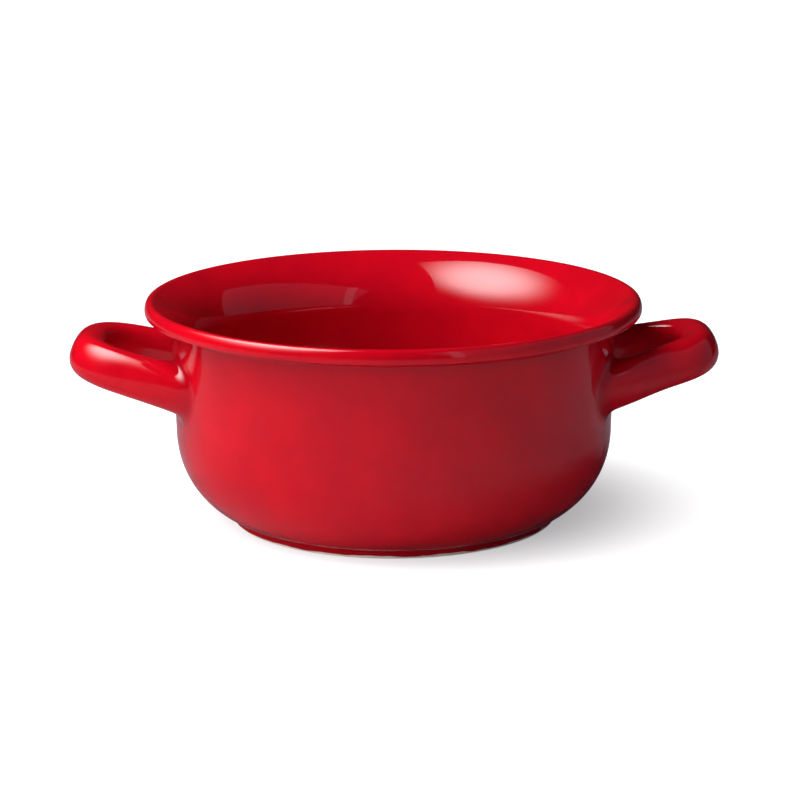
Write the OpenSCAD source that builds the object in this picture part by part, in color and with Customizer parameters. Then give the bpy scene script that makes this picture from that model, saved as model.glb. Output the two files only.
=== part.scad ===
// Onion soup crock: a glazed stoneware bowl with a rolled rim, a low foot ring
// and two loop handles that are stuck to the wall with slip.
// The origin is on the table under the middle of the bowl, +Z is up
// and the handles lie along X.

/* [Bowl] */
// Outside diameter across the rolled rim
rim_d = 150; // [146:0.5:156]
// Height from the table to the top of the rim
crock_h = 68; // [66:0.5:74]
// Radius of the rolled rim's top edge
rim_top_r = 1.55; // [1.3:0.05:1.8]
// Radius of the rim's rounded outer face
rim_face_r = 4.2; // [3.8:0.1:4.6]
// Radius of the rim's lower edge
rim_low_r = 1; // [0.8:0.05:1.2]
// Tilt of the outer face, in degrees, where the top edge begins
rim_face_top = 28; // [24:1:32]
// Tilt of the outer face, in degrees, where the lower edge begins
rim_face_low = 10; // [6:1:14]
// Slope of the rim's underside, in degrees
rim_under_slope = 14; // [10:1:18]
// Radius of the hollow under the rim
cove_r = 2; // [1.6:0.1:2.4]
// How far the belly, where it is fullest, stands in from the rim's edge
belly_inset = 8.8; // [8:0.1:10]
// Depth below the top of the rim at which the belly is fullest
belly_depth = 38.7; // [36:0.1:41]
// Outward lean of the wall above the belly, as a share of its height
wall_lean_share = 0.035; // [0:0.005:0.05]
// How much of the belly's round turn the foot ring cuts off
belly_cut = 4; // [3:0.1:6]
// Fullness of that turn, where 2 is an ellipse and more is squarer
belly_power = 2.25; // [2:0.05:2.5]

/* [Inside of the bowl] */
// Thickness of the wall
wall_t = 6; // [4.8:0.1:6.5]
// Thickness of the floor
floor_t = 5.6; // [4.5:0.1:7]
// Depth below the rim over which the inside opens out
flare_drop = 20; // [17:0.5:23]
// Tilt of the inside from upright, in degrees, where it meets the rim's top edge
flare_tilt = 55; // [50:1:60]
// How far in from the wall the turn to the floor reaches
turn_in = 26; // [20:0.5:30]
// Height above the floor at which that turn begins
turn_h = 24; // [20:0.5:28]
// Fullness of that turn, where 2 is an ellipse and more is squarer
turn_power = 2.4; // [2:0.05:2.6]

/* [Foot ring] */
// Outside diameter of the foot ring
foot_d = 99.2; // [96:0.2:100]
// Width of the foot ring
foot_w = 6; // [4:0.1:8]
// Height of the foot ring
foot_h = 2.4; // [2:0.1:3]
// Radius of the foot ring's lower edges
foot_edge_r = 0.7; // [0.4:0.1:0.9]
// How far the foot ring stands in from the edge of the bowl's underside
foot_inset = 0.65; // [0.4:0.05:1.5]

/* [Handles] */
// How deep under the wall's outside the arms of a handle are drawn
arm_in = 7; // [6:0.1:9]
// How far below the rim the middle line of the arms starts, at that depth
arm_drop = 23.9; // [22:0.1:26]
// Angle at which a handle rises outward, in degrees
rise_angle = 13.5; // [8:0.5:18]
// Half the distance between the middle lines of the two arms
arm_y = 19.8; // [18:0.1:22]
// Length of the straight arms along the rise
arm_run = 9.5; // [9:0.1:12]
// Length of the whole loop along the rise, to its middle line
loop_run = 34; // [30:0.1:38]
// Fullness of the loop's bend toward the tip, where 2 is an ellipse
bend_tip_power = 2.07; // [2:0.01:2.4]
// Fullness of the loop's bend toward the sides, where 2 is an ellipse
bend_side_power = 3.1; // [2.4:0.05:3.4]
// Thickness of the handle at its arms
arm_t = 9; // [8:0.1:10]
// Height of the handle at its arms
arm_h = 13.2; // [12:0.1:15]
// Thickness of the handle at its tip
tip_t = 11; // [9:0.1:12]
// Height of the handle at its tip
tip_h = 12.4; // [11:0.1:14]
// Fullness of the handle's section, where 2 is an ellipse
section_power = 2.35; // [2:0.05:3]

/* [Slip joints] */
// How far the slip runs out along the arm, and along the wall
slip_run = 3.2; // [2:0.1:3.6]
// How deep under the wall the slip's outline ends, so that the wall trims its edge
slip_edge = 0.2; // [0.1:0.05:0.3]

/* [Hidden] */
$fn = 96;
glaze_red = "#b3121d";
slip_red = "#9c0f19";
// A cut's tool reaches this far past what it cuts
overrun = 2;
// Facets of the solid that trims the handles, enough to follow the round wall closely
wall_facets = 720;
// Steps along a curve of the bowl's outline, and degrees a step of its round edges
curve_steps = 14;
arc_step = 12;
// Sides of a handle's section, rings round its bend and steps across a slip joint
section_sides = 32;
bend_rings = 30;
slip_steps = 5;

belly_r = rim_d / 2 - belly_inset;
belly_z = crock_h - belly_depth;
belly_drop = belly_z - foot_h + belly_cut;
foot_r = foot_d / 2;

// Share of the belly's turn that is left at height z
function turn_share(z) = pow(1 - pow((belly_z - z) / belly_drop, belly_power), 1 / belly_power);

// The turn reaches in from the belly until it meets the edge of the underside
turn_reach = (belly_r - foot_r - foot_inset) / (1 - turn_share(foot_h));

// Middles of the rim's three round edges, each of which runs on smoothly from the next
rim_face_x = rim_d / 2 - rim_face_r;
rim_top_at = [rim_face_x + (rim_face_r - rim_top_r) * cos(rim_face_top), crock_h - rim_top_r];
rim_face_at = [rim_face_x, rim_top_at.y - (rim_face_r - rim_top_r) * sin(rim_face_top)];
rim_low_at = rim_face_at + (rim_face_r - rim_low_r) * [cos(rim_face_low), -sin(rim_face_low)];

// Radius of the wall's outside at height z, above the belly
function wall_r(z) = belly_r + wall_lean_share * (z - belly_z);

// The hollow under the rim touches the leaning wall and the rim's underside
under_turn = rim_under_slope - 90;
under_out = [cos(under_turn), sin(under_turn)];
wall_along = [wall_lean_share, 1];
wall_out = [1, -wall_lean_share] / norm(wall_along);
cove_zero = [wall_r(0), 0] + cove_r * wall_out;
neck_z = (cove_r - (cove_zero - rim_low_at - rim_low_r * under_out) * under_out) / (wall_along * under_out);
cove_at = cove_zero + neck_z * wall_along;
wall_turn = 180 - atan(wall_lean_share);

floor_z = foot_h + floor_t;
turn_z = floor_z + turn_h;
flare_z = crock_h - flare_drop;
inner_low_r = wall_r(turn_z) - wall_t;
inner_high_r = wall_r(flare_z) - wall_t;
arm_z = crock_h - arm_drop;
arm_x = wall_r(arm_z) - arm_in;
bend_x = loop_run - arm_run;

// Points along a round edge, from angle a to angle b
function arc(at, r, a, b) =
    let (steps = ceil(abs(b - a) / arc_step))
    [for (i = [0 : steps]) let (t = a + (b - a) * i / steps) at + r * [cos(t), sin(t)]];

// One full turn of a rounded shape: power 2 gives sines, more gives a squarer shape
function full(value, power) = sign(value) * pow(abs(value), 2 / power);

// Radius of the belly's turn at height z, below where it is fullest
function turn_r(z) = belly_r - turn_reach * (1 - turn_share(z));

// The outside from the foot up to the belly, in even turns
function belly_points() =
    let (low = asin(pow((belly_z - foot_h) / belly_drop, belly_power / 2)))
    [for (i = [0 : curve_steps])
        let (a = low * (1 - i / curve_steps), z = belly_z - belly_drop * full(sin(a), belly_power))
        [turn_r(z), z]];

// The inside's opening, from the rim's top edge down to the upright wall
function flare_points() =
    let (high = rim_top_at + rim_top_r * [-cos(flare_tilt), sin(flare_tilt)],
         out = high.x - inner_high_r,
         rise = high.y - flare_z,
         power = tan(flare_tilt) * rise / out)
    [for (i = [1 : curve_steps])
        let (part = 1 - i / curve_steps)
        [inner_high_r + out * pow(part, power), flare_z + rise * part]];

// The inside's turn from the wall to the floor
function floor_points() =
    [for (i = [0 : curve_steps])
        let (a = 90 * i / curve_steps)
        [inner_low_r - turn_in + turn_in * full(cos(a), turn_power),
         turn_z - turn_h * full(sin(a), turn_power)]];

module bowl_outline() {
    polygon(concat(
        [[0, foot_h]],
        belly_points(),
        arc(cove_at, cove_r, wall_turn, under_turn + 180),
        arc(rim_low_at, rim_low_r, under_turn, -rim_face_low),
        arc(rim_face_at, rim_face_r, -rim_face_low, rim_face_top),
        arc(rim_top_at, rim_top_r, rim_face_top, 180 - flare_tilt),
        flare_points(),
        floor_points(),
        [[0, floor_z]]));
}

module foot_outline() {
    polygon(concat(
        [[foot_r - foot_w, foot_h]],
        arc([foot_r - foot_w + foot_edge_r, foot_edge_r], foot_edge_r, 180, 270),
        arc([foot_r - foot_edge_r, foot_edge_r], foot_edge_r, 270, 360),
        [[foot_r, foot_h]]));
}

// The bowl's outside up to the hollow under the rim, which trims the handles and the slip
module wall_solid() {
    rotate_extrude($fn = wall_facets)
        polygon(concat([[0, foot_h]], belly_points(), [[wall_r(neck_z), neck_z], [0, neck_z]]));
}

// From the handle's own plane, which rises outward, to the crock
function place(p) =
    [arm_x + p.x * cos(rise_angle) - p.z * sin(rise_angle),
     p.y,
     arm_z + p.x * sin(rise_angle) + p.z * cos(rise_angle)];

// A point of the section at angle a, as [outward, up]
function section(t, h, a) = [t / 2 * full(cos(a), section_power), h / 2 * full(sin(a), section_power)];

// One ring of the handle round the path point p, with its outward direction out
function ring(p, out, t, h) =
    [for (j = [0 : section_sides - 1])
        let (s = section(t, h, 360 * j / section_sides))
        place([p.x + out.x * s.x, p.y + out.y * s.x, s.y])];

// The rings round the bend, where a runs from the front arm to the back arm
function bend_ring(a) =
    let (x = full(cos(a), bend_tip_power),
         y = full(sin(a), bend_side_power),
         swell = pow(x, 2),
         out = [bend_tip_power * pow(x, bend_tip_power - 1) / bend_x,
                sign(y) * bend_side_power * pow(abs(y), bend_side_power - 1) / arm_y])
    ring([arm_run + bend_x * x, arm_y * y], out / norm(out),
         arm_t + (tip_t - arm_t) * swell, arm_h + (tip_h - arm_h) * swell);

function handle_rings() = concat(
    [ring([-overrun, -arm_y], [0, -1], arm_t, arm_h)],
    [for (i = [0 : bend_rings]) bend_ring(-90 + 180 * i / bend_rings)],
    [ring([-overrun, arm_y], [0, 1], arm_t, arm_h)]);

// A face with four corners as two triangles
function halves(a, b, c, d) = [[a, b, c], [a, c, d]];

// Faces between rings of equal size, closed by a flat face at both ends
function tube_faces(rings, sides) = concat(
    [[for (j = [sides - 1 : -1 : 0]) j]],
    [for (i = [0 : rings - 2], j = [0 : sides - 1])
        let (k = (j + 1) % sides)
        each halves(i * sides + j, i * sides + k, (i + 1) * sides + k, (i + 1) * sides + j)],
    [[for (j = [0 : sides - 1]) (rings - 1) * sides + j]]);

module handle() {
    rings = handle_rings();
    difference() {
        polyhedron([for (r = rings) each r], tube_faces(len(rings), section_sides), convexity = 6);
        wall_solid();
    }
}

// How far along the arm a line of its section at angle a meets the wall
function meet(a) =
    let (s = section(arm_t, arm_h, a),
         start = place([0, -arm_y - s.x, s.y]),
         r = wall_r(start.z),
         lean = wall_lean_share * sin(rise_angle),
         square = pow(cos(rise_angle), 2) - pow(lean, 2),
         half = start.x * cos(rise_angle) - r * lean)
    (-half + sqrt(pow(half, 2) - square * (pow(start.x, 2) + pow(start.y, 2) - pow(r, 2)))) / square;

// A point of the arm's surface, at a distance along it
function arm_point(a, run) =
    let (s = section(arm_t, arm_h, a))
    place([run, -arm_y - s.x, s.y]);

// The same height, on the wall or at a depth under its surface
function on_wall(p, depth) =
    let (k = (wall_r(p.z) - depth) / norm([p.x, p.y]))
    [p.x * k, p.y * k, p.z];

// The direction that leaves the arm's surface along the wall
function along_wall(a, p) =
    let (turn = [0, -full(cos(a), section_power / (section_power - 1)) / arm_t,
                 full(sin(a), section_power / (section_power - 1)) / arm_h],
         out = place(turn) - place([0, 0, 0]),
         wall = [p.x, p.y, -wall_lean_share * norm([p.x, p.y])],
         flat = out - wall * (out * wall) / (wall * wall))
    flat / norm(flat);

// One cut through the slip: a hollow curve from the arm to the wall, and back inside
function slip_cut(a) =
    let (run = meet(a),
         root = arm_point(a, run),
         high = arm_point(a, run + slip_run),
         wide = on_wall(root + slip_run * along_wall(a, root), slip_edge))
    concat(
        [for (i = [0 : slip_steps])
            let (t = i / slip_steps)
            pow(1 - t, 2) * high + 2 * t * (1 - t) * root + pow(t, 2) * wide],
        [on_wall(wide, slip_run / 2), arm_point(a, run - slip_run / 2)]);

// The slip between the right handle's front arm and the wall
module slip_joint() {
    cut_points = slip_steps + 3;
    cuts = [for (j = [0 : section_sides - 1]) slip_cut(360 * j / section_sides)];
    difference() {
        polyhedron(
            [for (c = cuts) each c],
            [for (j = [0 : section_sides - 1], i = [0 : cut_points - 1])
                let (k = (j + 1) % section_sides, n = (i + 1) % cut_points)
                each halves(j * cut_points + i, j * cut_points + n, k * cut_points + n, k * cut_points + i)],
            convexity = 6);
        wall_solid();
    }
}

// The bowl: floor, wall and the rim rolled from the same clay
module bowl() {
    color(glaze_red) rotate_extrude() bowl_outline();
}

// The ring that the crock stands on
module foot_ring() {
    color(glaze_red) rotate_extrude() foot_outline();
}

module right_handle() {
    color(glaze_red) handle();
}

module left_handle() {
    color(glaze_red) mirror([1, 0, 0]) handle();
}

module right_front_joint() {
    color(slip_red) slip_joint();
}

module right_back_joint() {
    color(slip_red) mirror([0, 1, 0]) slip_joint();
}

module left_front_joint() {
    color(slip_red) mirror([1, 0, 0]) slip_joint();
}

module left_back_joint() {
    color(slip_red) mirror([1, 0, 0]) mirror([0, 1, 0]) slip_joint();
}

bowl();
foot_ring();
left_handle();
right_handle();
left_front_joint();
left_back_joint();
right_front_joint();
right_back_joint();
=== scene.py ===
import math

import bmesh
import bpy
import numpy as np
from mathutils import Matrix, Quaternion, Vector


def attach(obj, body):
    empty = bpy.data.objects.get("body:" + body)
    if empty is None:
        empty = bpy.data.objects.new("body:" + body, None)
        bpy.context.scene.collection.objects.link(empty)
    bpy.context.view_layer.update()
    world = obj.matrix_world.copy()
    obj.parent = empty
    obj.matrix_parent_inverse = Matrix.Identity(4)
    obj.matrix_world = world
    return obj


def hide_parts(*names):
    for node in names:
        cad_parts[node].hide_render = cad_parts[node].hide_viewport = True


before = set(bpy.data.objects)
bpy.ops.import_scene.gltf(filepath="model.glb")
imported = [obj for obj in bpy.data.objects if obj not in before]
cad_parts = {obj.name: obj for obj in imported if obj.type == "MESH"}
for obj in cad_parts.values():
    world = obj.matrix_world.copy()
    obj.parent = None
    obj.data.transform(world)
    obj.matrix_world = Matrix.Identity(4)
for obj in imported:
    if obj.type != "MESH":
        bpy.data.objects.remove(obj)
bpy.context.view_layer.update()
scene = bpy.context.scene
mm = 0.001  # the crock's sizes below are in millimetres, the studio's in metres
joined = 0.002 * mm  # points nearer than this are made one


def linear(hexText):
    # sRGB hex to the linear colour that the sockets take
    parts = [int(hexText[i:i + 2], 16) / 255 for i in (1, 3, 5)]
    return tuple(c / 12.92 if c <= 0.04045 else ((c + 0.055) / 1.055) ** 2.4 for c in parts) + (1.0,)


def addNode(tree, kind, inputs={}, **settings):
    # an input takes a number, a colour or another node's socket
    node = tree.nodes.new(kind)
    for name, value in settings.items():
        setattr(node, name, value)
    for name, value in inputs.items():
        if isinstance(value, bpy.types.NodeSocket):
            tree.links.new(value, node.inputs[name])
        else:
            node.inputs[name].default_value = value
    return node


print("camera")
view = {
    "elevation": 13.94,  # degrees above the table
    "turn": -0.95,  # degrees round the crock, so the handles run slightly off square
    "roll": -0.2213,
    "distance": 865.35,
    "target": (1.913, 0.0, 35.494),
    "lens": 127.83,
    "sensor": 36,
    "nearest": 10,  # what lies nearer than this doesn't show
}


def placeCamera():
    tilt, roll = math.radians(view["elevation"]), math.radians(view["roll"])
    back = Vector((0, -math.cos(tilt), math.sin(tilt)))
    right = Vector((1, 0, 0))
    across = (right + math.sin(roll) * back.cross(right)).normalized()
    axes = Matrix((across, back.cross(across), back)).transposed().to_4x4()
    place = (Vector(view["target"]) + view["distance"] * back) * mm
    data = bpy.data.cameras.new("tableCamera")
    data.lens, data.sensor_width, data.clip_start = view["lens"], view["sensor"], view["nearest"] * mm
    camera = bpy.data.objects.new("tableCamera", data)
    turned = Matrix.Rotation(math.radians(view["turn"]), 4, "Z")
    camera.matrix_world = turned @ Matrix.Translation(place) @ axes
    scene.collection.objects.link(camera)
    scene.camera = camera


placeCamera()

print("glaze and clay")
glaze = {
    "thin": "#b60517",  # over edges, where it runs off
    "full": "#ab0417",
    "pooled": "#8e0211",  # in the hollows, where it gathers
    "cloud": 14,  # size of the soft clouds in the glaze
    "mottle": 2.6,
    "mottleShare": 0.35,  # how much the mottle counts beside the clouds
    "thinAt": 0.45,  # the pattern's values where the glaze is thin and where it is full
    "fullAt": 0.9,
    "thinRoughness": 0.22,  # of the colour under the clear skin
    "fullRoughness": 0.3,
    "skinRoughness": 0.045,
    "ior": 1.5,
    "ripple": 19,  # size of the slow waves in its surface
    "rippleDepth": 0.05,
    "orangePeel": 1.7,
    "orangePeelDepth": 0.0008,
}


def newMaterial(name):
    material = bpy.data.materials.new(name)
    material.use_nodes = True
    material.node_tree.nodes.clear()
    return material, material.node_tree


def glazeInto(tree):
    # a fired gloss glaze: deep saturated red under a clear, nearly mirror-smooth skin
    place = addNode(tree, "ShaderNodeTexCoord").outputs["Object"]
    pool = addNode(tree, "ShaderNodeAttribute", attribute_name="pool", attribute_type="GEOMETRY")
    cloud = addNode(tree, "ShaderNodeTexNoise", {
        "Vector": place, "Scale": 1 / (glaze["cloud"] * mm), "Detail": 2.0, "Roughness": 0.5})
    mottle = addNode(tree, "ShaderNodeTexNoise", {
        "Vector": place, "Scale": 1 / (glaze["mottle"] * mm), "Detail": 3.0, "Roughness": 0.6})
    both = addNode(tree, "ShaderNodeMath", {
        0: mottle.outputs["Fac"], 1: glaze["mottleShare"], 2: cloud.outputs["Fac"]}, operation="MULTIPLY_ADD")
    share = addNode(tree, "ShaderNodeMapRange", {
        "Value": both.outputs[0], "From Min": glaze["thinAt"], "From Max": glaze["fullAt"]},
        interpolation_type="SMOOTHSTEP")
    body = addNode(tree, "ShaderNodeMix", {
        "Factor": share.outputs["Result"], 6: linear(glaze["thin"]), 7: linear(glaze["full"])},
        data_type="RGBA")
    colour = addNode(tree, "ShaderNodeMix", {
        "Factor": pool.outputs["Fac"], 6: body.outputs[2], 7: linear(glaze["pooled"])}, data_type="RGBA")
    ripple = addNode(tree, "ShaderNodeTexNoise", {
        "Vector": place, "Scale": 1 / (glaze["ripple"] * mm), "Detail": 1.0, "Roughness": 0.4})
    peel = addNode(tree, "ShaderNodeTexNoise", {
        "Vector": place, "Scale": 1 / (glaze["orangePeel"] * mm), "Detail": 1.0, "Roughness": 0.4})
    slow = addNode(tree, "ShaderNodeBump", {
        "Strength": 1.0, "Distance": glaze["rippleDepth"] * mm, "Height": ripple.outputs["Fac"]})
    fine = addNode(tree, "ShaderNodeBump", {
        "Strength": 1.0, "Distance": glaze["orangePeelDepth"] * mm, "Height": peel.outputs["Fac"],
        "Normal": slow.outputs["Normal"]})
    gloss = addNode(tree, "ShaderNodeMapRange", {
        "Value": share.outputs["Result"], "To Min": glaze["thinRoughness"], "To Max": glaze["fullRoughness"]})
    return addNode(tree, "ShaderNodeBsdfPrincipled", {
        "Base Color": colour.outputs[2], "Roughness": gloss.outputs["Result"], "IOR": glaze["ior"],
        "Specular IOR Level": 0.0, "Coat Weight": 1.0, "Coat Roughness": glaze["skinRoughness"],
        "Coat IOR": glaze["ior"], "Normal": slow.outputs["Normal"], "Coat Normal": fine.outputs["Normal"]})


def makeGlaze():
    material, tree = newMaterial("redGlossGlaze")
    addNode(tree, "ShaderNodeOutputMaterial", {"Surface": glazeInto(tree).outputs[0]})
    return material


clay = {
    "light": "#f0e8dc",
    "dark": "#c4ab98",  # iron in the clay, toasted at the glaze's edge
    "grain": 0.35,
    "grainDepth": 0.03,
    "glazeEdge": 0.9,  # height at which the glaze stops above the table
    "edgeWander": 0.28,  # and how far it strays up and down
    "edgeLength": 9,  # how long the wavers of that edge are
    "edgeSoft": 0.04,  # half the height over which it fades
    "toast": 0.35,  # how far down from the glaze the clay is toasted
    "toastLeast": 0.1,
    "toastMost": 0.6,
    "roughness": 0.88,
    "ior": 1.5,
    "sheen": 0.25,  # specular level of the dry clay
}


def makeFootMaterial():
    # wiped stoneware below the glaze's edge: matt, pale and slightly gritty
    material, tree = newMaterial("glazedFootOverBareStoneware")
    place = addNode(tree, "ShaderNodeTexCoord").outputs["Object"]
    glazed = glazeInto(tree)
    height = addNode(tree, "ShaderNodeSeparateXYZ", {"Vector": place})
    wander = addNode(tree, "ShaderNodeTexNoise", {
        "Vector": place, "Scale": 1 / (clay["edgeLength"] * mm), "Detail": 2.0})
    line = addNode(tree, "ShaderNodeMapRange", {
        "Value": wander.outputs["Fac"], "From Min": 0.3, "From Max": 0.7,  # the noise's usual range
        "To Min": (clay["glazeEdge"] - clay["edgeWander"]) * mm,
        "To Max": (clay["glazeEdge"] + clay["edgeWander"]) * mm})
    above = addNode(tree, "ShaderNodeMath", {
        0: height.outputs["Z"], 1: line.outputs["Result"]}, operation="SUBTRACT")
    covered = addNode(tree, "ShaderNodeMapRange", {
        "Value": above.outputs[0], "From Min": -clay["edgeSoft"] * mm, "From Max": clay["edgeSoft"] * mm})
    toast = addNode(tree, "ShaderNodeMapRange", {
        "Value": above.outputs[0], "From Min": -clay["toast"] * mm, "From Max": 0.0,
        "To Min": clay["toastLeast"], "To Max": clay["toastMost"]})
    grain = addNode(tree, "ShaderNodeTexNoise", {
        "Vector": place, "Scale": 1 / (clay["grain"] * mm), "Detail": 4.0, "Roughness": 0.65})
    shade = addNode(tree, "ShaderNodeMath", {
        0: toast.outputs["Result"], 1: grain.outputs["Fac"]}, operation="MULTIPLY")
    colour = addNode(tree, "ShaderNodeMix", {
        "Factor": shade.outputs[0], 6: linear(clay["light"]), 7: linear(clay["dark"])}, data_type="RGBA")
    bump = addNode(tree, "ShaderNodeBump", {
        "Strength": 1.0, "Distance": clay["grainDepth"] * mm, "Height": grain.outputs["Fac"]})
    bare = addNode(tree, "ShaderNodeBsdfPrincipled", {
        "Base Color": colour.outputs[2], "Roughness": clay["roughness"], "IOR": clay["ior"],
        "Specular IOR Level": clay["sheen"], "Normal": bump.outputs["Normal"]})
    mix = addNode(tree, "ShaderNodeMixShader", {
        0: covered.outputs["Result"], 1: bare.outputs[0], 2: glazed.outputs[0]})
    addNode(tree, "ShaderNodeOutputMaterial", {"Surface": mix.outputs[0]})
    return material


glazeMaterial, footMaterial = makeGlaze(), makeFootMaterial()

print("outlines")
bowl = {
    "rimRadius": 75.0,
    "height": 68.0,
    "rimTop": 1.55,  # radii of the rolled rim's top edge, outer face and lower edge
    "rimFace": 4.2,
    "rimLow": 1.0,
    "faceTop": 28,  # degrees at which the face meets the two edges
    "faceLow": 10,
    "underSlope": 14,
    "cove": 2.0,  # radius of the hollow under the rim
    "belly": 66.2,  # outside radius where the belly is fullest
    "bellyHeight": 29.3,
    "lean": 0.035,  # how much the wall opens per millimetre of height
    "turnReach": 36.0,  # the belly's turn under the wall: inward, downward, and how full it is
    "turnDrop": 30.9,
    "turnPower": 2.25,
    "wall": 6.0,
    "floor": 8.0,  # height of the inside's floor
    "flareDrop": 20.0,  # the inside opens toward the rim from here
    "flareTilt": 55,
    "insideReach": 26.0,  # the inside's turn from the wall to the floor
    "insideTurn": 24.0,
    "insidePower": 2.4,
    "footHeight": 2.4,
    "sides": 288,
    "unevenness": 0.1,  # left by the wheel and the hand
    "unevenSize": 30,
    "seed": 4.0,
}
bowlPoints = {  # how many points each stretch of the bowl's outline takes
    "underside": 16,
    "belly": 44,
    "wall": 30,
    "cove": 14,
    "underRim": 8,
    "rimLow": 12,
    "rimFace": 14,
    "rimTop": 20,
    "flare": 46,
    "inside": 10,
    "insideTurn": 44,
    "floor": 14,
}
foot = {
    "outer": 49.6,
    "width": 6.0,
    "edge": 0.7,  # radius of its two bottom edges
    "glazeProud": 0.14,  # the glaze stands this far out from the bare clay
    "swell": ((1.0, 0.02), (0.4, 0.06), (0.0, 0.16)),  # share it still lacks, and height over the edge
    "swellEnd": 0.3,
    "fillet": 0.495,  # this far under the ring's top, glaze begins to fill the corner below the bowl
    "filletRise": 1.1,  # and this far above it, the fill meets the bowl
    "cornerRise": 0.1,
    "sink": 0.03,  # the fill's upper edge ends this deep in the bowl
    "innerAcross": 1.1,  # the fill inside the ring, along the bowl and down the ring
    "innerDown": 1.0,
    "innerSink": 0.01,
    "outerTuck": (-1.0, 0.9),  # the ring's top lies this far across and up, inside the bowl's clay
    "innerTuck": (-0.6, 0.35),
    "pool": 0.3,  # how much the glaze gathers on it
    "sides": 288,
}
footPoints = {
    "heel": 12,
    "side": 6,
    "fillet": 14,
    "innerFillet": 8,
    "toe": 12,
    "flat": 8,
}


def full(value, power):
    return np.sign(value) * np.abs(value) ** (2 / power)


def wallRadius(z):
    return bowl["belly"] + bowl["lean"] * (z - bowl["bellyHeight"])


def turnRadius(z):
    down = (bowl["bellyHeight"] - z) / bowl["turnDrop"]
    inward = 1 - (1 - down ** bowl["turnPower"]) ** (1 / bowl["turnPower"])
    return bowl["belly"] - bowl["turnReach"] * inward


def arcPoints(centre, radius, start, end, count):
    angles = np.radians(np.linspace(start, end, count))
    return np.stack([centre[0] + radius * np.cos(angles), centre[1] + radius * np.sin(angles)], 1)


def bend(start, corner, end, t):
    # a parabola from start to end that leans toward the corner; t runs from 0 to 1 along it
    return (1 - t) ** 2 * start + 2 * t * (1 - t) * corner + t ** 2 * end


def rimMiddles():
    # middles of the rim's three round edges and of the hollow that runs from the wall to its underside
    faceTop, faceLow, under = np.radians((bowl["faceTop"], bowl["faceLow"], bowl["underSlope"] - 90))
    face = np.array([bowl["rimRadius"] - bowl["rimFace"], 0.0])
    top = face + (bowl["rimFace"] - bowl["rimTop"]) * np.array([math.cos(faceTop), math.sin(faceTop)])
    low = face + (bowl["rimFace"] - bowl["rimLow"]) * np.array([math.cos(faceLow), -math.sin(faceLow)])
    lift = np.array([0.0, bowl["height"] - bowl["rimTop"] - top[1]])
    top, face, low = top + lift, face + lift, low + lift
    out = np.array([math.cos(under), math.sin(under)])
    along = np.array([bowl["lean"], 1.0])
    away = np.array([1.0, -bowl["lean"]]) / np.linalg.norm(along)
    start = np.array([wallRadius(0), 0.0]) + bowl["cove"] * away
    neck = (bowl["cove"] - (start - low - bowl["rimLow"] * out) @ out) / (along @ out)
    return top, face, low, start + neck * along


def bowlOutline():
    # from the middle of the underside, up the outside, over the rim and down to the middle of the floor
    top, face, low, cove = rimMiddles()
    count = bowlPoints
    lean = math.degrees(math.atan(bowl["lean"]))
    under = bowl["underSlope"] - 90
    drop = (bowl["bellyHeight"] - bowl["footHeight"]) / bowl["turnDrop"]
    bottom = math.asin(drop ** (bowl["turnPower"] / 2))
    turn = np.sin(np.linspace(bottom, 0, count["belly"]))
    z = bowl["bellyHeight"] - bowl["turnDrop"] * full(turn, bowl["turnPower"])
    belly = np.stack([turnRadius(z), z], 1)
    coveArc = arcPoints(cove, bowl["cove"], 180 - lean, under + 180, count["cove"])
    wallZ = np.linspace(bowl["bellyHeight"], coveArc[0, 1], count["wall"])[1:-1]
    wall = np.stack([wallRadius(wallZ), wallZ], 1)
    lowArc = arcPoints(low, bowl["rimLow"], under, -bowl["faceLow"], count["rimLow"])
    rim = np.concatenate([
        np.linspace(coveArc[-1], lowArc[0], count["underRim"])[1:-1],
        lowArc,
        arcPoints(face, bowl["rimFace"], -bowl["faceLow"], bowl["faceTop"], count["rimFace"])[1:],
        arcPoints(top, bowl["rimTop"], bowl["faceTop"], 180 - bowl["flareTilt"], count["rimTop"])[1:]])
    flareZ = bowl["height"] - bowl["flareDrop"]
    high = wallRadius(flareZ) - bowl["wall"]
    out, rise = rim[-1] - (high, flareZ)
    part = np.linspace(1, 0, count["flare"])[1:]
    power = math.tan(math.radians(bowl["flareTilt"])) * rise / out
    flare = np.stack([high + out * part ** power, flareZ + rise * part], 1)
    turnZ = bowl["floor"] + bowl["insideTurn"]
    inside = wallRadius(turnZ) - bowl["wall"]
    straight = np.linspace(flare[-1], [inside, turnZ], count["inside"])[1:-1]
    b = np.radians(np.linspace(0, 90, count["insideTurn"]))
    floorTurn = np.stack([inside + bowl["insideReach"] * (full(np.cos(b), bowl["insidePower"]) - 1),
                          turnZ - bowl["insideTurn"] * full(np.sin(b), bowl["insidePower"])], 1)
    underside = np.linspace([0, bowl["footHeight"]], belly[0], count["underside"])[:-1]
    floor = np.linspace(floorTurn[-1], [0, bowl["floor"]], count["floor"])[1:]
    parts = [underside, belly, wall, coveArc, rim, flare, straight, floorTurn, floor]
    pools = [0.2, 0.0, 0.0, 0.75, 0.0, 0.0, 0.0, 0.25, 0.3]  # how much the glaze gathers in each
    return parts, pools


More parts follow.
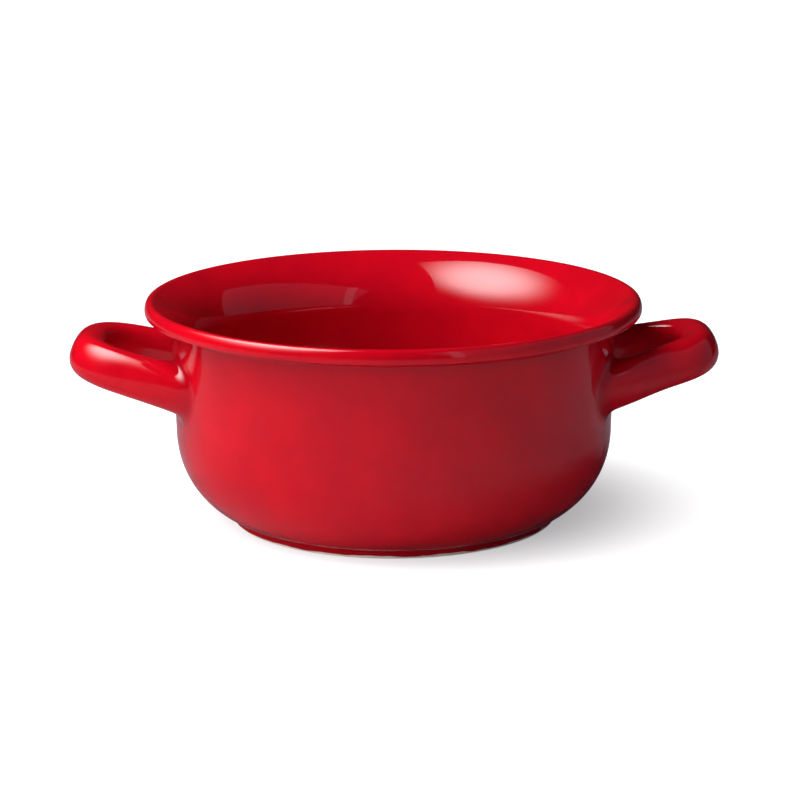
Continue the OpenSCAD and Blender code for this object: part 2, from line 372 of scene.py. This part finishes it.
def footOutline():
    # a closed ring: up the outside, into the corner under the bowl, down the inside and along the bottom
    top, outer, inner = bowl["footHeight"], foot["outer"], foot["outer"] - foot["width"]
    proud, edge, count = foot["glazeProud"], foot["edge"], footPoints
    heel = arcPoints((outer - edge, edge), edge - proud, -90, 0, count["heel"])
    step = np.array([(outer - proud * lack, edge + up) for lack, up in foot["swell"]])
    side = np.linspace([outer, edge + foot["swellEnd"]], [outer, top - foot["fillet"]], count["side"])
    corner, inCorner = np.array([outer, top + foot["cornerRise"]]), np.array([inner, top])
    meet = np.array([turnRadius(top + foot["filletRise"]) - foot["sink"], top + foot["filletRise"]])
    fillet = bend(side[-1], corner, meet, np.linspace(0, 1, count["fillet"])[1:, None])
    lid = np.array([(outer, top), inCorner]) + (foot["outerTuck"], foot["innerTuck"])
    innerFillet = bend(inCorner - (foot["innerAcross"], foot["innerSink"]), inCorner,
                       inCorner - (0, foot["innerDown"]), np.linspace(0, 1, count["innerFillet"])[:, None])
    toe = arcPoints((inner + edge, edge), edge, 180, 270, count["toe"])
    flat = np.linspace([inner + edge, 0], [outer - edge, 0], count["flat"])[1:-1]
    return np.concatenate([heel, step, side, fillet, lid, innerFillet, toe, flat])


def outlineObject(name, rows, pools, closed):
    mesh = bpy.data.meshes.new(name)
    points = [(r * mm, 0, z * mm) for r, z in rows]
    edges = [(i, i + 1) for i in range(len(points) - 1)] + ([(len(points) - 1, 0)] if closed else [])
    mesh.from_pydata(points, edges, [])
    mesh.attributes.new("pool", "FLOAT", "POINT").data.foreach_set("value", np.asarray(pools, np.float32))
    obj = bpy.data.objects.new(name, mesh)
    scene.collection.objects.link(obj)
    return obj


def newTree(name, numbers):
    tree = bpy.data.node_groups.new(name, "GeometryNodeTree")
    tree.interface.new_socket("Geometry", in_out="INPUT", socket_type="NodeSocketGeometry")
    for label, kind in numbers:
        tree.interface.new_socket(label, in_out="INPUT", socket_type=kind)
    tree.interface.new_socket("Geometry", in_out="OUTPUT", socket_type="NodeSocketGeometry")
    return tree, addNode(tree, "NodeGroupInput").outputs


def addGrid(tree, sides, count):
    # a grid that is rolled up, last column on first: its mesh, and the column, row and angle of a point
    columns = addNode(tree, "FunctionNodeIntegerMath", {0: sides, 1: 1})
    grid = addNode(tree, "GeometryNodeMeshGrid", {"Vertices X": columns.outputs[0], "Vertices Y": count})
    index = addNode(tree, "GeometryNodeInputIndex").outputs[0]
    column = addNode(tree, "FunctionNodeIntegerMath", {0: index, 1: count}, operation="DIVIDE_FLOOR")
    row = addNode(tree, "FunctionNodeIntegerMath", {0: index, 1: count}, operation="MODULO")
    share = addNode(tree, "ShaderNodeMath", {0: column.outputs[0], 1: sides}, operation="DIVIDE")
    angle = addNode(tree, "ShaderNodeMath", {0: share.outputs[0], 1: 2 * math.pi}, operation="MULTIPLY")
    return grid.outputs["Mesh"], column.outputs[0], row.outputs[0], angle.outputs[0]


def endTree(tree, mesh, material):
    smooth = addNode(tree, "GeometryNodeSetShadeSmooth", {"Geometry": mesh, "Shade Smooth": True})
    real = addNode(tree, "GeometryNodeRealizeInstances", {"Geometry": smooth.outputs[0]})
    glazed = addNode(tree, "GeometryNodeSetMaterial", {"Geometry": real.outputs[0], "Material": material})
    addNode(tree, "NodeGroupOutput", {"Geometry": glazed.outputs[0]})
    return tree


def turnOnWheelTree():
    # turns an outline round the crock's axis; the clay keeps a trace of unevenness from the wheel
    tree, given = newTree("turnOnWheel", [
        ("Sides", "NodeSocketInt"), ("Ring Closed", "NodeSocketInt"), ("Unevenness", "NodeSocketFloat"),
        ("Unevenness Size", "NodeSocketFloat"), ("Seed", "NodeSocketFloat"), ("Glaze", "NodeSocketMaterial")])
    rows = addNode(tree, "GeometryNodeAttributeDomainSize", {"Geometry": given["Geometry"]}, component="MESH")
    points = rows.outputs["Point Count"]
    count = addNode(tree, "FunctionNodeIntegerMath", {0: points, 1: given["Ring Closed"]}).outputs[0]
    mesh, column, row, angle = addGrid(tree, given["Sides"], count)
    wrapped = addNode(tree, "FunctionNodeIntegerMath", {0: row, 1: points}, operation="MODULO")
    here = addNode(tree, "GeometryNodeInputPosition")
    point = addNode(tree, "GeometryNodeSampleIndex", {
        0: given["Geometry"], "Index": wrapped.outputs[0], 1: here.outputs[0]}, data_type="FLOAT_VECTOR")
    pooled = addNode(tree, "GeometryNodeInputNamedAttribute", {"Name": "pool"}, data_type="FLOAT")
    depth = addNode(tree, "GeometryNodeSampleIndex", {
        0: given["Geometry"], "Index": wrapped.outputs[0], 1: pooled.outputs["Attribute"]}, data_type="FLOAT")
    turned = addNode(tree, "ShaderNodeVectorRotate", {
        "Vector": point.outputs[0], "Angle": angle}, rotation_type="Z_AXIS")
    scale = addNode(tree, "ShaderNodeMath", {0: 1.0, 1: given["Unevenness Size"]}, operation="DIVIDE")
    noise = addNode(tree, "ShaderNodeTexNoise", {
        "Vector": turned.outputs[0], "W": given["Seed"], "Scale": scale.outputs[0], "Detail": 0.0},
        noise_dimensions="4D")
    shrink = addNode(tree, "ShaderNodeMath", {
        0: noise.outputs["Fac"], 1: given["Unevenness"]}, operation="MULTIPLY")
    inward = addNode(tree, "ShaderNodeVectorMath", {0: turned.outputs[0], 1: (1, 1, 0)}, operation="MULTIPLY")
    direction = addNode(tree, "ShaderNodeVectorMath", {0: inward.outputs[0]}, operation="NORMALIZE")
    shift = addNode(tree, "ShaderNodeVectorMath", {
        0: direction.outputs[0], "Scale": shrink.outputs[0]}, operation="SCALE")
    final = addNode(tree, "ShaderNodeVectorMath", {
        0: turned.outputs[0], 1: shift.outputs[0]}, operation="SUBTRACT")
    rolled = addNode(tree, "GeometryNodeSetPosition", {"Geometry": mesh, "Position": final.outputs[0]})
    marked = addNode(tree, "GeometryNodeStoreNamedAttribute", {
        "Geometry": rolled.outputs[0], "Name": "pool", "Value": depth.outputs[0]},
        data_type="FLOAT", domain="POINT")
    closed = addNode(tree, "GeometryNodeMergeByDistance", {"Geometry": marked.outputs[0], "Distance": joined})
    return endTree(tree, closed.outputs[0], given["Glaze"])


def runTree(obj, tree, values, name):
    # runs the tree once and keeps its result as a plain mesh
    modifier = obj.modifiers.new("form", "NODES")
    modifier.node_group = tree
    for item in tree.interface.items_tree:
        if item.in_out == "INPUT" and item.name in values:
            modifier[item.identifier] = values[item.name]
    bpy.context.view_layer.update()
    mesh = bpy.data.meshes.new_from_object(obj.evaluated_get(bpy.context.evaluated_depsgraph_get()))
    obj.modifiers.remove(modifier)
    bpy.data.objects.remove(obj)
    mesh.name = name
    piece = bpy.data.objects.new(name, mesh)
    scene.collection.objects.link(piece)
    return piece


def signedVolume(mesh):
    mesh.calc_loop_triangles()
    points = np.zeros(len(mesh.vertices) * 3)
    mesh.vertices.foreach_get("co", points)
    points = points.reshape(-1, 3)
    corners = np.zeros(len(mesh.loop_triangles) * 3, np.int32)
    mesh.loop_triangles.foreach_get("vertices", corners)
    a, b, c = points[corners.reshape(-1, 3)].transpose(1, 0, 2)
    return float(np.einsum("ij,ij->i", a, np.cross(b, c)).sum() / 6)


def faceOut(piece):
    if signedVolume(piece.data) < 0:
        piece.data.flip_normals()
    print(f"  {piece.name}: {signedVolume(piece.data) / mm ** 3:.0f} mm3, {len(piece.data.polygons)} faces")
    return piece


print("bowl and foot")
wheelTree = turnOnWheelTree()
parts, pools = bowlOutline()
rows = np.concatenate(parts)
depths = np.concatenate([np.full(len(p), d) for p, d in zip(parts, pools)])
for _ in range(3):  # the pooled glaze thins out gradually
    depths[1:-1] = (depths[:-2] + 2 * depths[1:-1] + depths[2:]) / 4
glazedBowl = faceOut(runTree(outlineObject("bowlOutline", rows, depths, False), wheelTree, {
    "Sides": bowl["sides"], "Ring Closed": 0, "Unevenness": bowl["unevenness"] * mm,
    "Unevenness Size": bowl["unevenSize"] * mm, "Seed": bowl["seed"], "Glaze": glazeMaterial}, "glazedBowl"))
ring = footOutline()
depths = np.full(len(ring), foot["pool"])
glazedFoot = faceOut(runTree(outlineObject("footOutline", ring, depths, True), wheelTree, {
    "Sides": foot["sides"], "Ring Closed": 1, "Unevenness": 0.0, "Unevenness Size": bowl["unevenSize"] * mm,
    "Seed": 1.0, "Glaze": footMaterial}, "glazedFoot"))

print("handles")
handle = {
    "depth": 7.0,  # the arms are drawn from this deep behind the wall's face,
    "drop": 23.9,  # this far under the rim's top
    "rise": 13.5,  # degrees that they rise outward
    "halfSpan": 19.8,  # from the loop's middle to the middle of an arm
    "armRun": 9.5,  # length of the straight arms, and from the same start how far out the tip lies
    "loopRun": 34.0,
    "tipPower": 2.07,  # how full the loop's round is, outward and sideways
    "sidePower": 3.1,
    "armThick": 9.0,
    "armHigh": 13.2,
    "tipThick": 11.0,
    "tipHigh": 12.4,
    "sectionPower": 2.35,  # 2 is an oval section, more is fuller
    "slip": 3.2,  # how far the slip runs along the arm and along the wall
    "roll": 6.5,  # degrees that the section leans back, outer face up
    "spreadRun": 20.0,  # from here to the wall the arm spreads,
    "spreadOut": 5.4,  # this much outward
    "spreadDown": 2.2,  # and this much downward
    "spreadPower": 1.5,
    "slipEdge": 0.14,  # share of the root rings that tuck into the wall
    "slipTop": 0.72,  # and share up to which the slip's hollow curve runs; the straight arm follows
    "sink": 0.06,  # the slip's edge ends this deep in the wall
    "tuckReach": 0.9,  # and runs on this far, this much deeper
    "tuckDepth": 0.35,
    "poolAt": 0.42,  # glaze gathers in the slip's hollow
    "poolReach": 0.35,
    "poolMost": 0.7,
    "pathPoints": 721,
    "sides": 120,
    "rings": 250,
    "rootRings": 37,
}
byHand = {
    "moved": (72, 92),  # distances from the axis where the press that moves the tips begins and is whole
    "leftIn": 0.95,
    "leftTilt": 0.055,  # so much more for every millimetre over this height,
    "leftMiddle": 52,
    "leftSkew": 0.03,  # and for every millimetre to the back
    "rightIn": 0.2,
    "rightPinch": 0.1,  # share by which the right loop is narrower, most at this distance from the axis
    "pinchAt": 82,
    "pinchReach": 13,
}
rise = math.radians(handle["rise"])
armHeight = bowl["height"] - handle["drop"]
armStart = np.array([wallRadius(armHeight) - handle["depth"], 0, armHeight])
outAxis = np.array([math.cos(rise), 0, math.sin(rise)])
backAxis = np.array([0, 1.0, 0])
upAxis = np.array([-math.sin(rise), 0, math.cos(rise)])


def pointing(x, y, z):
    # a direction in the handle's own plane, which rises outward, as the crock has it
    return np.multiply.outer(x, outAxis) + np.multiply.outer(y, backAxis) + np.multiply.outer(z, upAxis)


def handlePath():
    tip, side = handle["tipPower"], handle["sidePower"]
    a = np.radians(np.linspace(-90, 90, handle["pathPoints"]))
    x, y = full(np.cos(a), tip), full(np.sin(a), side)
    reach = handle["loopRun"] - handle["armRun"]
    out = np.stack([tip * x ** (tip - 1) / reach,
                    np.sign(y) * side * np.abs(y) ** (side - 1) / handle["halfSpan"]], 1)
    out /= np.linalg.norm(out, axis=1)[:, None]
    roll = math.radians(handle["roll"])
    swell = x ** 2
    thick = handle["armThick"] + (handle["tipThick"] - handle["armThick"]) * swell
    high = handle["armHigh"] + (handle["tipHigh"] - handle["armHigh"]) * swell
    centre = armStart + pointing(handle["armRun"] + reach * x, handle["halfSpan"] * y, 0)
    flat = pointing(out[:, 0], out[:, 1], 0)
    outward = math.cos(roll) * flat + math.sin(roll) * upAxis
    upward = math.cos(roll) * upAxis - math.sin(roll) * flat
    return centre, outward, upward, np.stack([thick, high, np.zeros(len(a))], 1)


def pathObject():
    centre, outward, upward, sizes = handlePath()
    mesh = bpy.data.meshes.new("handlePath")
    mesh.from_pydata([tuple(p * mm) for p in centre], [(i, i + 1) for i in range(len(centre) - 1)], [])
    for label, values in (("outward", outward), ("upward", upward), ("sizes", sizes * mm)):
        mesh.attributes.new(label, "FLOAT_VECTOR", "POINT").data.foreach_set("vector", values.ravel())
    obj = bpy.data.objects.new("handlePath", mesh)
    scene.collection.objects.link(obj)
    return obj


def pullHandleTree():
    # sweeps the handle's rounded section along its loop, thicker toward the tip
    tree, given = newTree("pullHandle", [
        ("Sides", "NodeSocketInt"), ("Rings", "NodeSocketInt"), ("Root Rings", "NodeSocketInt"),
        ("Section Fullness", "NodeSocketFloat"), ("Glaze", "NodeSocketMaterial")])
    curve = addNode(tree, "GeometryNodeMeshToCurve", {"Mesh": given["Geometry"]})
    mesh, column, ringIndex, turn = addGrid(tree, given["Sides"], given["Rings"])
    last = addNode(tree, "FunctionNodeIntegerMath", {0: given["Rings"], 1: 1}, operation="SUBTRACT")
    end = addNode(tree, "FunctionNodeIntegerMath", {
        0: last.outputs[0], 1: given["Root Rings"]}, operation="SUBTRACT")
    along = addNode(tree, "ShaderNodeMapRange", {
        "Value": ringIndex, "From Min": given["Root Rings"], "From Max": end.outputs[0]})
    power = addNode(tree, "ShaderNodeMath", {0: 2.0, 1: given["Section Fullness"]}, operation="DIVIDE")
    sampled = []
    for label in ("outward", "upward", "sizes"):
        stored = addNode(tree, "GeometryNodeInputNamedAttribute", {"Name": label}, data_type="FLOAT_VECTOR")
        sampled.append(addNode(tree, "GeometryNodeSampleCurve", {
            0: curve.outputs[0], "Factor": along.outputs[0], 1: stored.outputs[0]}, data_type="FLOAT_VECTOR",
            use_all_curves=True))
    measure = addNode(tree, "ShaderNodeSeparateXYZ", {0: sampled[2].outputs["Value"]})
    place = sampled[0].outputs["Position"]
    for way, operation, extent in ((sampled[0], "COSINE", "X"), (sampled[1], "SINE", "Y")):
        wave = addNode(tree, "ShaderNodeMath", {0: turn}, operation=operation)
        side = addNode(tree, "ShaderNodeMath", {0: wave.outputs[0]}, operation="SIGN")
        bare = addNode(tree, "ShaderNodeMath", {0: wave.outputs[0]}, operation="ABSOLUTE")
        filled = addNode(tree, "ShaderNodeMath", {0: bare.outputs[0], 1: power.outputs[0]}, operation="POWER")
        signed = addNode(tree, "ShaderNodeMath", {
            0: filled.outputs[0], 1: side.outputs[0]}, operation="MULTIPLY")
        half = addNode(tree, "ShaderNodeMath", {0: measure.outputs[extent], 1: 0.5}, operation="MULTIPLY")
        run = addNode(tree, "ShaderNodeMath", {
            0: signed.outputs[0], 1: half.outputs[0]}, operation="MULTIPLY")
        shift = addNode(tree, "ShaderNodeVectorMath", {
            0: way.outputs["Value"], "Scale": run.outputs[0]}, operation="SCALE")
        place = addNode(tree, "ShaderNodeVectorMath", {0: place, 1: shift.outputs[0]}).outputs[0]
    mesh = addNode(tree, "GeometryNodeSetPosition", {"Geometry": mesh, "Position": place}).outputs[0]
    for label, number in (("ring", ringIndex), ("around", column)):
        mesh = addNode(tree, "GeometryNodeStoreNamedAttribute", {
            "Geometry": mesh, "Name": label, "Value": number}, data_type="INT", domain="POINT").outputs[0]
    return endTree(tree, mesh, given["Glaze"])


def wallMeet(start):
    # how far along the arm a line of its surface meets the wall
    r, lean = wallRadius(start[:, 2]), bowl["lean"] * math.sin(rise)
    square = math.cos(rise) ** 2 - lean ** 2
    half = start[:, 0] * math.cos(rise) - r * lean
    return (-half + np.sqrt(half ** 2 - square * (start[:, 0] ** 2 + start[:, 1] ** 2 - r ** 2))) / square


def onWall(points, depth):
    k = (wallRadius(points[:, 2]) - depth) / np.hypot(points[:, 0], points[:, 1])
    return np.stack([points[:, 0] * k, points[:, 1] * k, points[:, 2]], 1)


def rootLines(turn):
    # the front arm's surface lines at angles turn: where each leaves the arm, meets the wall and ends on it
    t, h, p = handle["armThick"], handle["armHigh"], handle["sectionPower"]
    tilt = math.radians(handle["roll"])
    tilted = np.array([[math.cos(tilt), -math.sin(tilt)], [math.sin(tilt), math.cos(tilt)]])
    u, v = tilted @ (t / 2 * full(np.cos(turn), p), h / 2 * full(np.sin(turn), p))
    start = armStart + pointing(0, -handle["halfSpan"] - u, v)
    run = wallMeet(start)
    root = start + run[:, None] * outAxis
    u, v = tilted @ (full(np.cos(turn), p / (p - 1)) / t, full(np.sin(turn), p / (p - 1)) / h)
    outer = pointing(0, -u, v)
    wall = np.stack([root[:, 0], root[:, 1], -bowl["lean"] * np.hypot(root[:, 0], root[:, 1])], 1)
    wall /= np.linalg.norm(wall, axis=1)[:, None]
    flat = outer - wall * np.einsum("ij,ij->i", outer, wall)[:, None]
    flat /= np.linalg.norm(flat, axis=1)[:, None]
    return start, run, root, flat


def spread(points, turn):
    # toward the wall the arm grows outward and downward, so its root is broader than its grip
    off = np.hypot(points[:, 0], points[:, 1]) - wallRadius(points[:, 2])
    near = np.clip(1 - off / handle["spreadRun"], 0, 1)
    outer, lower = (np.clip(side, 0, 1) ** handle["spreadPower"] for side in (np.cos(turn), -np.sin(turn)))
    out = handle["spreadOut"] * near ** 2 * outer * np.sign(points[:, 1])
    down = handle["spreadDown"] * near ** 2 * lower
    moved = points + out[:, None] * backAxis - down[:, None] * upAxis
    back = (wallRadius(moved[:, 2]) + off) / np.hypot(moved[:, 0], moved[:, 1])
    moved[:, :2] *= (1 + (back - 1) * near)[:, None]
    return moved


def setByHand(co, flipped):
    # the two loops aren't quite alike: the left one's tip is pressed in more, and the right one is slimmer
    near, away = byHand["moved"]
    far = min(max((co.x / mm - near) / (away - near), 0), 1)
    shift = mm * far * far * (3 - 2 * far)
    if flipped:
        up, back = co.z / mm - byHand["leftMiddle"], co.y / mm
        co.x -= (byHand["leftIn"] + byHand["leftTilt"] * up + byHand["leftSkew"] * back) * shift
    else:
        co.x -= byHand["rightIn"] * shift
        off = (co.x / mm - byHand["pinchAt"]) / byHand["pinchReach"]
        co.y *= 1 - byHand["rightPinch"] * max(1 - off ** 2, 0) ** 2


def flowIntoWall(piece):
    # the end rings become the slip that carries the arm's skin onto the wall in one hollow curve
    slip, edge, top = handle["slip"], handle["slipEdge"], handle["slipTop"]
    mesh = piece.data
    count = len(mesh.vertices)
    points, ring, around = np.zeros(count * 3), np.zeros(count, np.int32), np.zeros(count, np.int32)
    mesh.vertices.foreach_get("co", points)
    mesh.attributes["ring"].data.foreach_get("value", ring)
    mesh.attributes["around"].data.foreach_get("value", around)
    points = points.reshape(-1, 3) / mm
    pool = np.zeros(count, np.float32)
    for side, near in ((1, ring), (-1, handle["rings"] - 1 - ring)):
        chosen = near < handle["rootRings"]
        turn = around[chosen] / handle["sides"] * 2 * np.pi
        start, run, root, flat = rootLines(turn)
        share = near[chosen] / handle["rootRings"]
        high = start + (run + slip)[:, None] * outAxis
        wide = onWall(root + slip * flat, 0)
        t = np.clip((top - share) / (top - edge), 0, 1)[:, None]
        curve = bend(high, root, wide, t)
        straight = np.clip((share - top) / (1 - top), 0, 1)[:, None]
        curve += straight * (start + handle["armRun"] * outAxis - high)
        under = np.clip((edge - share) / edge, 0, 1)
        tucked = onWall(root + (slip + handle["tuckReach"] * under[:, None]) * flat,
                        handle["sink"] * (under > 0) + handle["tuckDepth"] * under ** 2)
        curve = np.where(under[:, None] > 0, tucked, curve)
        curve[:, 1] *= side
        points[chosen] = curve
        gathered = np.clip(1 - np.abs(share - handle["poolAt"]) / handle["poolReach"], 0, 1)
        pool[chosen] = gathered * handle["poolMost"]
    points = spread(points, around / handle["sides"] * 2 * np.pi)
    mesh.vertices.foreach_set("co", (points * mm).ravel())
    mesh.attributes.new("pool", "FLOAT", "POINT").data.foreach_set("value", pool)
    return piece


def closeTube(piece, name, flipped):
    # joins the seam and closes both ends under the wall
    work = bmesh.new()
    work.from_mesh(piece.data)
    bmesh.ops.remove_doubles(work, verts=work.verts, dist=joined)
    bmesh.ops.holes_fill(work, edges=[e for e in work.edges if e.is_boundary], sides=0)
    for v in work.verts:
        setByHand(v.co, flipped)
        if flipped:
            v.co.x = -v.co.x
    bmesh.ops.recalc_face_normals(work, faces=work.faces)
    for f in work.faces:
        f.smooth = True
    mesh = piece.data.copy()
    work.to_mesh(mesh)
    work.free()
    for label in ("ring", "around"):
        mesh.attributes.remove(mesh.attributes[label])
    mesh.name = name
    made = bpy.data.objects.new(name, mesh)
    scene.collection.objects.link(made)
    return faceOut(made)


swept = flowIntoWall(runTree(pathObject(), pullHandleTree(), {
    "Sides": handle["sides"], "Rings": handle["rings"], "Root Rings": handle["rootRings"],
    "Section Fullness": handle["sectionPower"], "Glaze": glazeMaterial}, "sweptHandle"))
rightLoop = closeTube(swept, "glazedRightHandle", False)
leftLoop = closeTube(swept, "glazedLeftHandle", True)
bpy.data.objects.remove(swept)

print("floor, world and lamps")
paper = {
    "seen": "#ada9ae",  # as the camera sees it
    "throwing": "#e9e5e8",  # a brighter copy of the paper for the light it throws back on the crock: painted bounce light
    "mirrored": "#86848c",  # and a darker copy as the glaze mirrors it: painted shade in the paper's reflection
    "size": 8.0,
    "roughness": 0.4,
    "fibreScale": 900.0,
    "fibreDepth": 0.00003,
    "fibreStrength": 0.1,
    # painted shade and light: the camera's glow on the paper is weak round the crock, centred toward the
    # shadow side, and full farther off, which greys the paper near the crock and washes out the far end of
    # its shadow
    "glowNear": 0.38,  # what the camera sees added to the lit paper, round the crock; kept low there, which paints shade round the crock
    "glowFar": 1.0,  # and farther off
    "glowMiddle": (0.013, 0.01, 0),  # away from the key, where the shadow lies; the painted shade round the crock is centred there
    "glowFrom": 0.036,  # the one turns into the other between these distances
    "glowTo": 0.092,
}


def addRays(tree):
    # the kinds of ray, and 1 for those that carry the camera's own view
    rays = addNode(tree, "ShaderNodeLightPath").outputs
    seen = addNode(tree, "ShaderNodeMath", {
        0: rays["Is Camera Ray"], 1: rays["Is Transmission Ray"]}, operation="MAXIMUM")
    return rays, seen.outputs[0]


def makeFloor():
    material, tree = newMaterial("paleSeamlessPaper")
    rays, seen = addRays(tree)
    place = addNode(tree, "ShaderNodeTexCoord").outputs["Object"]
    # painted shade and light on the paper: less glow round the crock toward the shadow side, full glow
    # farther off
    away = addNode(tree, "ShaderNodeVectorMath", {0: place, 1: paper["glowMiddle"]}, operation="DISTANCE")
    glow = addNode(tree, "ShaderNodeMapRange", {
        "Value": away.outputs["Value"], "From Min": paper["glowFrom"], "From Max": paper["glowTo"],
        "To Min": paper["glowNear"], "To Max": paper["glowFar"]}, interpolation_type="SMOOTHSTEP")
    fibre = addNode(tree, "ShaderNodeTexNoise", {
        "Vector": place, "Scale": paper["fibreScale"], "Detail": 3.0})
    bump = addNode(tree, "ShaderNodeBump", {
        "Strength": paper["fibreStrength"], "Distance": paper["fibreDepth"], "Height": fibre.outputs["Fac"]})
    # lit and shaded copies of the paper: brighter for bounce rays, which paints light onto the crock from
    # below, darker for the glaze's mirror rays, which paints shade into its reflection
    shade = linear(paper["seen"])
    for kind, look in (("Is Diffuse Ray", "throwing"), ("Is Glossy Ray", "mirrored")):
        shade = addNode(tree, "ShaderNodeMix", {
            "Factor": rays[kind], 6: shade, 7: linear(paper[look])}, data_type="RGBA").outputs[2]
    matt = addNode(tree, "ShaderNodeBsdfDiffuse", {
        "Color": shade, "Roughness": paper["roughness"], "Normal": bump.outputs["Normal"]})
    strength = addNode(tree, "ShaderNodeMath", {0: seen, 1: glow.outputs["Result"]}, operation="MULTIPLY")
    light = addNode(tree, "ShaderNodeEmission", {"Strength": strength.outputs[0]})
    both = addNode(tree, "ShaderNodeAddShader", {0: matt.outputs[0], 1: light.outputs[0]})
    addNode(tree, "ShaderNodeOutputMaterial", {"Surface": both.outputs[0]})
    half = paper["size"] / 2
    corners = [(x * half, y * half, 0) for x, y in ((-1, -1), (1, -1), (1, 1), (-1, 1))]
    mesh = bpy.data.meshes.new("tablePaper")
    mesh.from_pydata(corners, [], [(0, 1, 2, 3)])
    mesh.materials.append(material)
    floorPiece = bpy.data.objects.new("tablePaper", mesh)
    scene.collection.objects.link(floorPiece)


room = {
    "ambient": 0.04,
    "mirrored": 0.012,  # the dark room, as the glaze mirrors it
}


def makeWorld():
    world = bpy.data.worlds.new("studio")
    world.use_nodes = True
    scene.world = world
    tree = world.node_tree
    tree.nodes.clear()
    rays, seen = addRays(tree)
    dim = addNode(tree, "ShaderNodeMapRange", {
        "Value": rays["Is Glossy Ray"], "To Min": room["ambient"], "To Max": room["mirrored"]})
    strength = addNode(tree, "ShaderNodeMix", {0: seen, 2: dim.outputs["Result"], 3: 1.0}, data_type="FLOAT")
    back = addNode(tree, "ShaderNodeBackground", {"Color": (1, 1, 1, 1), "Strength": strength.outputs[0]})
    addNode(tree, "ShaderNodeOutputWorld", {"Surface": back.outputs[0]})


lamps = {  # turn in degrees round from +X, rise in degrees over the table
    "keySoftbox": {  # to the left and close, as the glaze shows it
        "turn": -171.2,
        "rise": 35.7,
        "roll": -44.7,
        "distance": 0.5,
        "size": (0.818, 0.663),
        "shift": (-0.009, 0.0615),  # how far its middle lies to the side
        "power": 20.3,
    },
    "lowFill": {  # a low card that the glaze doesn't show
        "turn": -140,
        "rise": 4,
        "distance": 0.8,
        "size": (0.6, 0.35),
        "power": 3.8,
    },
    "fillStrip": {  # a narrow gap that shows as an upright band in the right handle
        "turn": -63,
        "rise": 22,
        "distance": 0.72,
        "size": (0.07, 0.62),
        "power": 0.08,
        "colour": (0.8, 0.8, 1.0),
    },
    "fillCard": {  # a broad dim card opposite the key
        "turn": -20,
        "rise": 25,
        "distance": 0.8,
        "size": (1.6, 0.85),
        "power": 1.1,
        "colour": (0.75, 0.7, 1.0),
    },
}
lampAim = 0.04  # height over the table that the lamps face
keyCloth = {
    "bright": (-0.138, 0.148),  # where the key's cloth is brightest, and how far that reaches
    "reach": (0.278, 0.215),
    "edge": 1.5,  # 1 falls off softly from there, 2 is nearer to an even disc
}


def hangLamp(name, turn, rise, distance, size, power, colour=(1, 1, 1), roll=0, shift=(0, 0)):
    data = bpy.data.lights.new(name, "AREA")
    data.shape, data.size, data.size_y = "RECTANGLE", size[0], size[1]
    data.energy, data.color = power, colour
    lamp = bpy.data.objects.new(name, data)
    a, b = math.radians(turn), math.radians(rise)
    way = Vector((math.cos(a) * math.cos(b), math.sin(a) * math.cos(b), math.sin(b)))
    facing = way.to_track_quat("Z", "Y") @ Quaternion((0, 0, 1), math.radians(roll))
    lamp.location = way * distance + Vector((0, 0, lampAim)) + facing @ Vector(shift + (0,))
    lamp.rotation_euler = facing.to_euler()
    scene.collection.objects.link(lamp)
    return lamp


def shadeSoftbox(data):
    # the cloth of a softbox is brightest in front of its bulb
    key = lamps["keySoftbox"]
    middle = [0.5 + (keyCloth["bright"][i] - key["shift"][i]) / key["size"][i] for i in (0, 1)]
    reach = [keyCloth["reach"][i] / key["size"][i] for i in (0, 1)]
    data.use_nodes = True
    tree = data.node_tree
    tree.nodes.clear()
    spot = addNode(tree, "ShaderNodeNewGeometry")
    across = addNode(tree, "ShaderNodeVectorMath", {
        0: spot.outputs["Parametric"], 1: middle + [0]}, operation="SUBTRACT")
    share = addNode(tree, "ShaderNodeVectorMath", {0: across.outputs[0], 1: reach + [1]}, operation="DIVIDE")
    square = addNode(tree, "ShaderNodeVectorMath", {
        0: share.outputs[0], 1: share.outputs[0]}, operation="DOT_PRODUCT")
    fall = addNode(tree, "ShaderNodeMath", {
        0: square.outputs["Value"], 1: keyCloth["edge"]}, operation="POWER")
    fade = addNode(tree, "ShaderNodeMath", {0: math.exp(-1), 1: fall.outputs[0]}, operation="POWER")
    shade = addNode(tree, "ShaderNodeEmission", {"Strength": fade.outputs[0]})
    addNode(tree, "ShaderNodeOutputLight", {0: shade.outputs[0]})


makeFloor()
makeWorld()
hung = {name: hangLamp(name, **values) for name, values in lamps.items()}
shadeSoftbox(hung["keySoftbox"].data)
hung["lowFill"].visible_glossy = False
scene.view_settings.view_transform = "Standard"

print("table of pieces")
for piece, nodes in ((glazedBowl, ["bowl"]), (glazedFoot, ["foot_ring"]),
                     (rightLoop, ["right_handle", "right_front_joint", "right_back_joint"]),
                     (leftLoop, ["left_handle", "left_front_joint", "left_back_joint"])):
    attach(piece, "root")
    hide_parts(*nodes)
